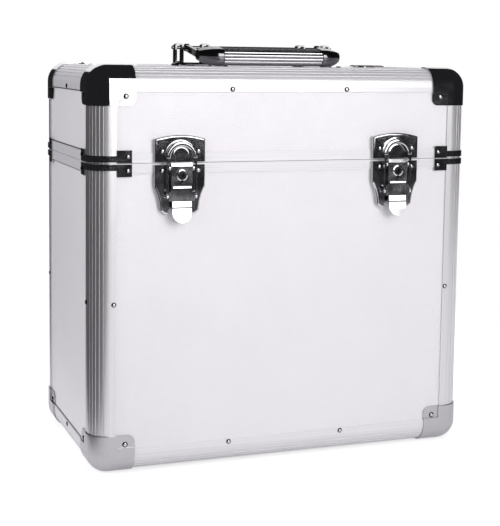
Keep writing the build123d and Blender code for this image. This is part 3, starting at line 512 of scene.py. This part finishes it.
chrome_colour = (0.66, 0.655, 0.68)
corner_chrome = polished("corner_chrome", chrome_colour, 0.04, 0.05, 0.0002)
corner_satin = polished("corner_satin", (0.54, 0.52, 0.545), 0.28, 0.03, 0.00003, 0.95, 0.95)
sheet_edge = 0.0003
corner_rows = {"corner_chrome": ("lid", corner_chrome), "corner_satin": ("base", corner_satin)}
for node in slots:
    if slots[node] in corner_rows:
        dressed("pressed", node, *corner_rows[slots[node]], sheet_edge)

# ---- Clips at the seam ----
# Chromed straps bent round the corner posts, one pair at each corner, just above and below the seam.
# Each ends in two riveted tabs.
chrome = polished("chrome", chrome_colour, 0.05, 0.06, 0.0001)
for body in ("base", "lid"):
    clips = f"{body}_clips"
    new_piece(f"seam_straps_{body}", softened(clips, sheet_edge), chrome, body, [clips])

# ---- Draw latches ----
# Each has a domed keeper on the lid, and on the lower shell a plate with a thrown lever, whose bail is
# drawn over the keeper. All are chromed pressings. A small cylinder lock in the lever holds it shut.
plate_edge = 0.0005
for side in ("left", "right"):
    for node, body in ((f"latch_keeper_{side}", "lid"), (f"latch_plate_{side}", "base")):
        dressed("pressed", node, body, chrome, plate_edge, 3)

# The levers, their bails and the pins and studs are pressed, bent and turned pieces of the same finish.
# The levers' shallow slopes are rounded too, so their edges are taken from a smaller angle.
lever_edge, bail_edge, pin_edge = 0.0003, 0.0007, 0.0003
lever_slope = 9
lever_chrome = polished("lever_chrome", chrome_colour, 0.07, 0.08, 0.00015)
for side in ("left", "right"):
    dressed("pressed", f"latch_lever_{side}", f"{side}_lever", lever_chrome, lever_edge, 3, lever_slope)
    dressed("bent", f"latch_bail_{side}", f"{side}_bail", chrome, bail_edge, 4)
    dressed("turned", f"latch_bail_pin_{side}", f"{side}_lever", chrome, pin_edge)
pins = "latch_lever_pins"
new_piece("turned_lever_pins", softened(pins, pin_edge), chrome, "base", [pins])

# ---- Cylinder locks ----
# A turned plug of plain steel with a keyhole, which stands a little proud of each lever.
# The cutting tool leaves fine rings round the middle of its face.
plug_edge = 0.00025
plug_grey, plug_grimy = (0.03, 0.03, 0.032), (0.0165, 0.0165, 0.0176)
plug_roughness, grimy_roughness, bare_roughness = 0.3, 0.42, 0.26
ring_step, ring_depth, grime_waves = 0.0005, 0.00002, (600, 600, 600)
for side in ("left", "right"):
    node = f"latch_lock_{side}"
    low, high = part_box(node)
    plug_radius = (high.x - low.x) / 2
    lock_steel, tree, surface = new_material(f"turned_steel_{side}", plug_grey, 1.0, plug_roughness)
    where = tree.nodes.new("ShaderNodeTexCoord")
    centred = tree.nodes.new("ShaderNodeMapping")
    centred.inputs["Location"].default_value = (-(low.x + high.x) / 2, 0, plug_radius - high.z)
    centred.inputs["Scale"].default_value = (1, 0, 1)
    tree.links.new(where.outputs["Object"], centred.inputs["Vector"])
    from_middle = tree.nodes.new("ShaderNodeVectorMath")
    from_middle.operation = "LENGTH"
    tree.links.new(centred.outputs["Vector"], from_middle.inputs[0])
    turns = join(tree, "MULTIPLY", from_middle.outputs["Value"], 2 * math.pi / ring_step)
    relief(tree, surface, join(tree, "SINE", turns), ring_depth)
    grime = object_noise(tree, grime_waves, 3.0)
    two_colours(tree, surface, spread(tree, grime, 0, 1), plug_grimy, plug_grey)
    tree.links.new(spread(tree, grime, grimy_roughness, bare_roughness), surface.inputs["Roughness"])
    new_piece(f"plug_{side}", softened(node, plug_edge), lock_steel, f"{side}_lock", [node])

# ---- Hinges ----
# Two leaf hinges at the back, cut and rolled from zinc-plated sheet and riveted to both shells.
# Each turns on a steel pin with upset ends.
hinge_steel = polished("zinc_plate", (0.58, 0.575, 0.6), 0.24, 0.12, 0.0001)
for node, body in (("hinge_base_leaves", "base"), ("hinge_lid_leaves", "lid"), ("hinge_pins", "base")):
    dressed("rolled", node, body, hinge_steel, sheet_edge)

# ---- Handle ----
# Cast brackets hold a long rod, and two flat arms swing on it. The grip is a ribbed sleeve between two
# end caps, all metallised plastic over a steel core.
cast_edge, arm_edge, cap_edge = 0.0004, 0.0011, 0.0006
handle_chrome = polished("handle_chrome", (0.2, 0.196, 0.206), 0.08, 0.1, 0.0003)
for node, body, edge, segments in (
        ("handle_brackets", "lid", cast_edge, 3),
        ("handle_rod", "lid", pin_edge, 2),
        ("handle_arms", "handle", arm_edge, 4),
        ("handle_end_caps", "handle", cap_edge, 3)):
    dressed("cast", node, body, handle_chrome, edge, segments)
coat("handle_core", hinge_steel)

# The sleeve: a core with rounded corners, and ribs set at even steps round its outline.
grip_deep, grip_thick, grip_round, rib_radius, rib_count = 0.0192, 0.0098, 0.0042, 0.0024, 17
corner_steps, rib_sides, crease_degrees = 8, 20, 50
grip_silver = polished("metallised_plastic", (0.42, 0.41, 0.43), 0.12, 0.06, 0.00003)


def geometry_tree(name, inputs):
    """an empty Geometry Nodes tree with named inputs, and its first and last nodes"""
    tree = bpy.data.node_groups.new(name, "GeometryNodeTree")
    for label, kind in inputs:
        tree.interface.new_socket(label, in_out="INPUT", socket_type=kind)
    tree.interface.new_socket("Geometry", in_out="OUTPUT", socket_type="NodeSocketGeometry")
    return tree, tree.nodes.new("NodeGroupInput"), tree.nodes.new("NodeGroupOutput")


def finish_tree(tree, shape, metal, last):
    """makes the instances real and gives them their material"""
    real = tree.nodes.new("GeometryNodeRealizeInstances")
    coated = tree.nodes.new("GeometryNodeSetMaterial")
    tree.links.new(shape, real.inputs[0])
    tree.links.new(real.outputs[0], coated.inputs["Geometry"])
    tree.links.new(metal, coated.inputs["Material"])
    tree.links.new(coated.outputs[0], last.inputs[0])


def grown(name, start, tree, values):
    """the plain mesh that a tree makes of a start mesh, with its named inputs set"""
    carrier = bpy.data.objects.new(name, start)
    bpy.context.scene.collection.objects.link(carrier)
    modifier = carrier.modifiers.new("grown", "NODES")
    modifier.node_group = tree
    for item in tree.interface.items_tree:
        if item.in_out == "INPUT" and item.name in values:
            modifier[item.identifier] = values[item.name]
    mesh = baked(carrier)
    bpy.data.objects.remove(carrier)
    return mesh


tree, first, last = geometry_tree("ribbed_sleeve", (
    ("Geometry", "NodeSocketGeometry"), ("Depth", "NodeSocketFloat"), ("Thickness", "NodeSocketFloat"),
    ("Corner", "NodeSocketFloat"), ("Length", "NodeSocketFloat"), ("Rib Radius", "NodeSocketFloat"),
    ("Rib Count", "NodeSocketInt"), ("Metal", "NodeSocketMaterial")))
outline = tree.nodes.new("GeometryNodeCurvePrimitiveQuadrilateral")
tree.links.new(first.outputs["Depth"], outline.inputs["Width"])
tree.links.new(first.outputs["Thickness"], outline.inputs["Height"])
rounded = tree.nodes.new("GeometryNodeFilletCurve")
rounded.mode = "POLY"
rounded.inputs["Count"].default_value = corner_steps
tree.links.new(outline.outputs[0], rounded.inputs["Curve"])
tree.links.new(first.outputs["Corner"], rounded.inputs["Radius"])
filled = tree.nodes.new("GeometryNodeFillCurve")
tree.links.new(rounded.outputs[0], filled.inputs["Curve"])
drawn = tree.nodes.new("GeometryNodeExtrudeMesh")
drawn.inputs["Individual"].default_value = False
tree.links.new(filled.outputs[0], drawn.inputs["Mesh"])
tree.links.new(first.outputs["Length"], drawn.inputs["Offset Scale"])
back = tree.nodes.new("GeometryNodeFlipFaces")
tree.links.new(filled.outputs[0], back.inputs[0])
sleeve = tree.nodes.new("GeometryNodeJoinGeometry")
tree.links.new(drawn.outputs[0], sleeve.inputs[0])
tree.links.new(back.outputs[0], sleeve.inputs[0])
stations = tree.nodes.new("GeometryNodeResampleCurve")
tree.links.new(rounded.outputs[0], stations.inputs["Curve"])
tree.links.new(first.outputs["Rib Count"], stations.inputs["Count"])
rib = tree.nodes.new("GeometryNodeMeshCylinder")
rib.inputs["Vertices"].default_value = rib_sides
tree.links.new(first.outputs["Rib Radius"], rib.inputs["Radius"])
tree.links.new(first.outputs["Length"], rib.inputs["Depth"])
ribs = tree.nodes.new("GeometryNodeInstanceOnPoints")
tree.links.new(stations.outputs[0], ribs.inputs["Points"])
tree.links.new(rib.outputs["Mesh"], ribs.inputs["Instance"])
halfway = tree.nodes.new("ShaderNodeCombineXYZ")
half_length = join(tree, "MULTIPLY", first.outputs["Length"], 0.5)
tree.links.new(half_length, halfway.inputs[2])
centred = tree.nodes.new("GeometryNodeTransform")
tree.links.new(ribs.outputs[0], centred.inputs["Geometry"])
tree.links.new(halfway.outputs[0], centred.inputs["Translation"])
tree.links.new(centred.outputs[0], sleeve.inputs[0])
finish_tree(tree, sleeve.outputs[0], first.outputs["Metal"], last)

low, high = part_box("handle_grip")
grip_mesh = grown("grip_carrier", bpy.data.meshes.new("nothing"), tree, {
    "Depth": grip_deep, "Thickness": grip_thick, "Corner": grip_round, "Length": high.x - low.x,
    "Rib Radius": rib_radius, "Rib Count": rib_count, "Metal": grip_silver})
rod_place = next(Vector(joint["pos_m"]) for joint in frame["joints"] if joint["name"] == "handle_fold")
grip_middle = (low + high) / 2
outwards = Vector((0, grip_middle.y - rod_place.y, grip_middle.z - rod_place.z)).normalized()
along = Vector((1, 0, 0))
square_to_both = along.cross(outwards)
sleeve_turn = Matrix((outwards, square_to_both, along)).transposed().to_4x4()
sleeve_start = Vector((low.x, grip_middle.y, grip_middle.z))
grip_mesh.transform(Matrix.Translation(sleeve_start) @ sleeve_turn)
smooth(grip_mesh)
grip_mesh.set_sharp_from_angle(angle=math.radians(crease_degrees))
new_piece("ribbed_grip", grip_mesh, grip_silver, "handle", ["handle_grip"])

# ---- Rivets ----
# Eighty-eight nickel-plated rivets, with heads of four sizes, hold the rails, corners, clips, latches,
# hinges and handle brackets. Each head is a low dome with a rolled edge, darkened round its foot with painted
# shade.
# They are set where the frame's own rivets stand.
head_profile = (        # distance from the middle and height, where the head's radius is one
    (0.0, 0.5), (0.34, 0.475), (0.62, 0.395), (0.82, 0.275), (0.95, 0.135), (1.0, 0.03), (0.96, -0.03))
head_sides = 20
# painted shade round each head's foot: its colour, and the share of the radius where it begins and where it is
# full
head_foot_shade, foot_shade_from, foot_shade_to = (0.03, 0.03, 0.032), 0.42, 0.8
rim_share = 0.98
rivet_nickel = polished("nickel", (0.66, 0.655, 0.67), 0.09, 0.06, 0.00004)
tree = rivet_nickel.node_tree
surface = tree.nodes["Principled BSDF"]
plated = surface.inputs["Base Color"].links[0].from_socket
# the rim attribute darkens each head towards its foot with painted shade
rim = tree.nodes.new("ShaderNodeAttribute")
rim.attribute_name = "rim"
two_colours(tree, surface, rim.outputs["Fac"], plated, head_foot_shade)

head_mesh = bpy.data.meshes.new("rivet_head")
points, faces = [(0, 0, head_profile[0][1])], []
for radius, height in head_profile[1:]:
    for i in range(head_sides):
        angle = 2 * math.pi * i / head_sides
        points.append((radius * math.cos(angle), radius * math.sin(angle), height))
for i in range(head_sides):
    faces.append((0, 1 + i, 1 + (i + 1) % head_sides))
    for ring in range(len(head_profile) - 2):
        near, far = 1 + ring * head_sides, 1 + (ring + 1) * head_sides
        after = (i + 1) % head_sides
        faces.append((near + i, far + i, far + after, near + after))
faces.append(tuple(reversed(range(len(points) - head_sides, len(points)))))
head_mesh.from_pydata(points, [], faces)
# painted shade grows from nothing in the middle of the head to full at its foot
foot_shade_shares = [(math.hypot(x, y) - foot_shade_from) / (foot_shade_to - foot_shade_from) for x, y, _ in points]
foot_shade_shares = [min(1, max(0, share)) for share in foot_shade_shares]
head_mesh.attributes.new("rim", "FLOAT", "POINT").data.foreach_set("value", foot_shade_shares)
smooth(head_mesh)
head = bpy.data.objects.new("rivet_head", head_mesh)
bpy.context.scene.collection.objects.link(head)

tree, first, last = geometry_tree("set_rivets", (
    ("Geometry", "NodeSocketGeometry"), ("Head", "NodeSocketObject"), ("Metal", "NodeSocketMaterial"),
    ("Seed", "NodeSocketInt")))
shape = tree.nodes.new("GeometryNodeObjectInfo")
tree.links.new(first.outputs["Head"], shape.inputs["Object"])
axis = tree.nodes.new("GeometryNodeInputNamedAttribute")
axis.data_type = "FLOAT_VECTOR"
axis.inputs["Name"].default_value = "outwards"
size = tree.nodes.new("GeometryNodeInputNamedAttribute")
size.data_type = "FLOAT"
size.inputs["Name"].default_value = "head_radius"
upright = tree.nodes.new("FunctionNodeAlignRotationToVector")
upright.axis = "Z"
tree.links.new(axis.outputs["Attribute"], upright.inputs["Vector"])
spin = tree.nodes.new("FunctionNodeRandomValue")
spin.data_type = "FLOAT"
spin_range = [socket for socket in spin.inputs if socket.enabled]
spin_range[0].default_value, spin_range[1].default_value = 0.0, 2 * math.pi
tree.links.new(first.outputs["Seed"], spin.inputs["Seed"])
about_axis = tree.nodes.new("FunctionNodeAxisAngleToRotation")
about_axis.inputs["Axis"].default_value = (0, 0, 1)
spun = next(socket for socket in spin.outputs if socket.enabled)
tree.links.new(spun, about_axis.inputs["Angle"])
placed = tree.nodes.new("FunctionNodeRotateRotation")
placed.rotation_space = "LOCAL"
tree.links.new(upright.outputs[0], placed.inputs[0])
tree.links.new(about_axis.outputs[0], placed.inputs[1])
heads = tree.nodes.new("GeometryNodeInstanceOnPoints")
tree.links.new(first.outputs["Geometry"], heads.inputs["Points"])
tree.links.new(shape.outputs["Geometry"], heads.inputs["Instance"])
tree.links.new(placed.outputs[0], heads.inputs["Rotation"])
tree.links.new(size.outputs["Attribute"], heads.inputs["Scale"])
finish_tree(tree, heads.outputs[0], first.outputs["Metal"], last)


def rivet_seats(node):
    """for each rivet of a node: the middle of its seat, the way its head faces, and the head's radius"""
    shape = bmesh.new()
    shape.from_mesh(nodes[node].data)
    bmesh.ops.remove_doubles(shape, verts=shape.verts, dist=weld_distance)
    left, rows = set(shape.verts), []
    while left:
        island, edge = set(), [left.pop()]
        while edge:
            vert = edge.pop()
            island.add(vert)
            near = [link.other_vert(vert) for link in vert.link_edges]
            edge += [other for other in near if other in left]
            left.difference_update(near)
        low = Vector([min(vert.co[i] for vert in island) for i in range(3)])
        high = Vector([max(vert.co[i] for vert in island) for i in range(3)])
        middle, reach = (low + high) / 2, high - low
        way = max(range(3), key=lambda i: reach[i])
        radius = min(reach) / 2
        line = Vector([float(i == way) for i in range(3)])
        foot = [
            vert.co[way] for vert in island if (vert.co - middle).cross(line).length > rim_share * radius]
        seat = middle.copy()
        seat[way] = sum(foot) / len(foot)
        outwards = line * math.copysign(1, seat[way] - middle[way])
        rows.append((seat, outwards, radius))
    shape.free()
    return sorted(rows, key=lambda row: tuple(row[0]))


for body, seed in (("base", 3), ("lid", 8)):
    rows = rivet_seats(f"{body}_rivets")
    seats = bpy.data.meshes.new(f"seats_{body}")
    seats.from_pydata([row[0] for row in rows], [], [])
    outwards = seats.attributes.new("outwards", "FLOAT_VECTOR", "POINT")
    outwards.data.foreach_set("vector", [value for row in rows for value in row[1]])
    radii = seats.attributes.new("head_radius", "FLOAT", "POINT")
    radii.data.foreach_set("value", [row[2] for row in rows])
    rivets = grown(f"rivets_{body}", seats, tree, {"Head": head, "Metal": rivet_nickel, "Seed": seed})
    new_piece(f"rivet_heads_{body}", rivets, rivet_nickel, body, [f"{body}_rivets"])
bpy.data.objects.remove(head)
